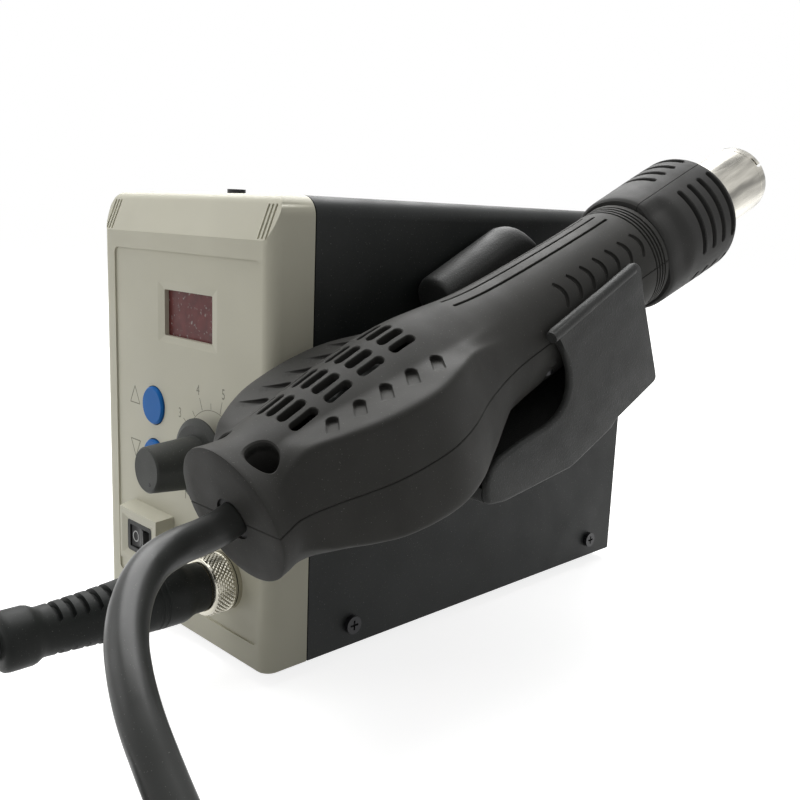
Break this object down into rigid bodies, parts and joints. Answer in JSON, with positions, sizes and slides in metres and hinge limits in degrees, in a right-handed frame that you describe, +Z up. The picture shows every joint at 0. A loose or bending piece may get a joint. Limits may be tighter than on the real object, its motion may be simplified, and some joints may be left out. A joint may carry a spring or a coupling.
{
  "type": "hot air rework station",
  "caption": "Bench hot air unit: steel case with moulded front, display, buttons, airflow knob and rocker switch; corded handpiece with its own fan and heater rests in a side cradle.",
  "frame": {"origin": "on the bench, under the middle of the case's footprint", "axes": "+Z up; +Y from the front panel to the back, the way the nozzle points; +X to the right seen from the front, towards the cradle"},
  "size_m": [0.2284, 0.3747, 0.1679],
  "materials": {
    "moulding_ivory": "fine moulded texture, satin",
    "case_black": "powder coat, fine orange peel",
    "screw_black": "blackened steel",
    "foot_rubber": "matt rubber",
    "screw_steel": "bright zinc",
    "window_red": "tinted clear plastic",
    "display_dark": "dark resin",
    "board_green": "solder mask",
    "black_plastic": "moulded",
    "pot_metal": "plated",
    "knob_black": "moulded, satin",
    "button_blue": "satin moulded",
    "rocker_gloss": "glossy",
    "connector_nickel": "satin nickel",
    "boot_rubber": "soft rubber",
    "standoff_brass": "turned",
    "sink_aluminium": "extruded",
    "transformer_iron": "lacquered laminations",
    "terminal_green": "moulded",
    "handle_plastic": "fine spark texture, satin",
    "fan_plastic": "moulded",
    "lead_rubber": "satin silicone",
    "cover_plastic": "glass-filled, satin",
    "tube_stainless": "satin stainless",
    "mica": "layered sheet",
    "ceramic": "fired ceramic",
    "heater_wire": "resistance wire",
    "tie_plastic": "moulded strap"
  },
  "bodies": {
    "root": {"front_bezel": "moulding_ivory", "top_cover": "case_black", "base_plate": "case_black", "rear_panel": "case_black", "cover_screws": "screw_black", "rubber_feet": "foot_rubber", "foot_screws": "screw_steel", "display_window": "window_red", "display_module": "display_dark", "control_board": "board_green", "board_screws": "screw_steel", "tact_switches": "black_plastic", "potentiometer": "pot_metal", "pot_nut": "screw_steel", "switch_body": "black_plastic", "panel_socket": "connector_nickel", "socket_nut": "connector_nickel", "plug_shell": "connector_nickel", "plug_boot": "boot_rubber", "main_board": "board_green", "board_standoffs": "standoff_brass", "heat_sink": "sink_aluminium", "triac": "screw_steel", "transformer": "transformer_iron", "capacitor": "black_plastic", "terminal_block": "terminal_green", "mains_inlet": "black_plastic", "inlet_screws": "screw_black", "cradle": "black_plastic", "cradle_screws": "screw_black", "standby_magnet": "connector_nickel", "lead_out": "lead_rubber", "lead_coil": "lead_rubber", "lead_in": "lead_rubber", "coil_tie": "tie_plastic"},
    "handpiece": {"handle_upper": "handle_plastic", "handle_lower": "handle_plastic", "handle_screws": "screw_black", "fan_housing": "black_plastic", "fan_motor": "pot_metal", "handle_board": "board_green", "lead_tail": "lead_rubber", "cable_grommet": "foot_rubber", "nozzle_cover_left": "cover_plastic", "nozzle_cover_right": "cover_plastic", "nozzle_tube": "tube_stainless", "nozzle_collar": "tube_stainless", "mica_sleeve": "mica", "heater_core": "ceramic", "heating_coil": "heater_wire", "thermocouple": "tube_stainless"},
    "fan": {"fan_impeller": "fan_plastic"},
    "up_key": {"up_button": "button_blue"},
    "down_key": {"down_button": "button_blue"},
    "knob": {"airflow_knob": "knob_black", "pot_shaft": "screw_steel"},
    "rocker": {"switch_rocker": "rocker_gloss"},
    "coupling_ring": {"coupling_nut": "connector_nickel"}
  },
  "joints": [
    {"name": "handpiece_lift", "type": "slide", "parent": "root", "child": "handpiece", "axis": [0, 0, 1], "range_m": [0, 0.06]},
    {"name": "fan_spin", "type": "hinge", "parent": "handpiece", "child": "fan", "pos_m": [0.0795, -0.09014, 0.08027], "axis": [0, 0.9311, 0.3649], "continuous": true},
    {"name": "up_press", "type": "slide", "parent": "root", "child": "up_key", "axis": [0, 1, 0], "range_m": [0, 0.0008], "stiffness_N_per_m": 600, "springref_m": -0.0008},
    {"name": "down_press", "type": "slide", "parent": "root", "child": "down_key", "axis": [0, 1, 0], "range_m": [0, 0.0008], "stiffness_N_per_m": 600, "springref_m": -0.0008},
    {"name": "knob_turn", "type": "hinge", "parent": "root", "child": "knob", "pos_m": [0.0185, -0.095, 0.0636], "axis": [0, -1, 0], "range_deg": [0, 245]},
    {"name": "rocker_tip", "type": "hinge", "parent": "root", "child": "rocker", "pos_m": [-0.0166, -0.09145, 0.0294], "axis": [0, 0, 1], "range_deg": [0, 16]},
    {"name": "ring_turn", "type": "hinge", "parent": "root", "child": "coupling_ring", "pos_m": [0.0257, -0.095, 0.0272], "axis": [0, 1, 0], "continuous": true}
  ]
}
